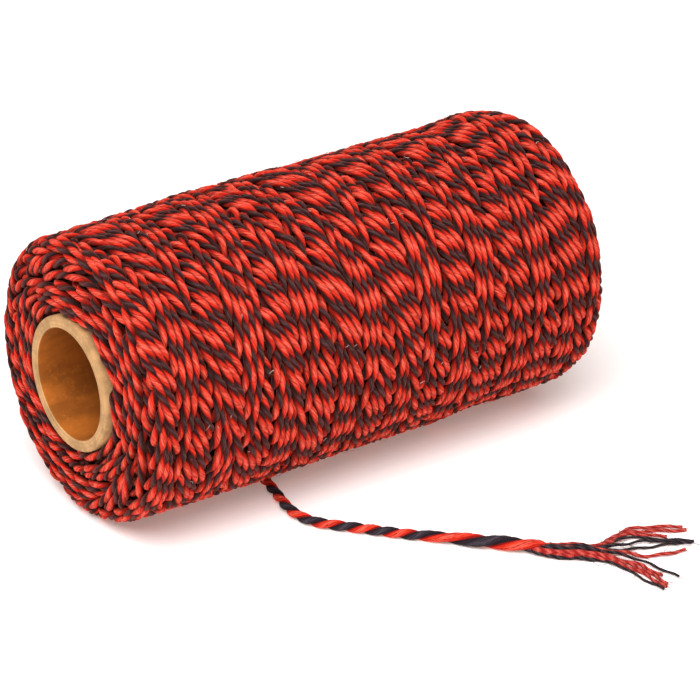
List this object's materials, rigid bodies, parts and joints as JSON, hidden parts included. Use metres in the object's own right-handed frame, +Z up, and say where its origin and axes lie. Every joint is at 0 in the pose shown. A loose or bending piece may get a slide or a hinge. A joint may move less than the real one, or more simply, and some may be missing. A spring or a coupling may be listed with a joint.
{
  "type": "roll of twine on a paper tube",
  "caption": "Cylinder of two-colour twisted twine wound crosswise on an open paper tube, lying on its side with a loose end that frays into yarns.",
  "frame": {"origin": "on the resting surface, under the middle of the roll", "axes": "+X along the tube, +Z up, and the loose end lies on the -Y side"},
  "size_m": [0.1242, 0.1283, 0.0634],
  "materials": {
    "twine": "two-ply cotton twine, one red and one black ply, matt with fine fuzz",
    "tube_board": "wound kraft board, matt, pale cut edge, brown inside",
    "yarn": "untwisted cotton yarns, red and black, matt"
  },
  "bodies": {
    "root": {"winding": "twine", "core_tube": "tube_board", "loose_end": "twine", "frayed_yarns": "yarn"}
  },
  "joints": []
}
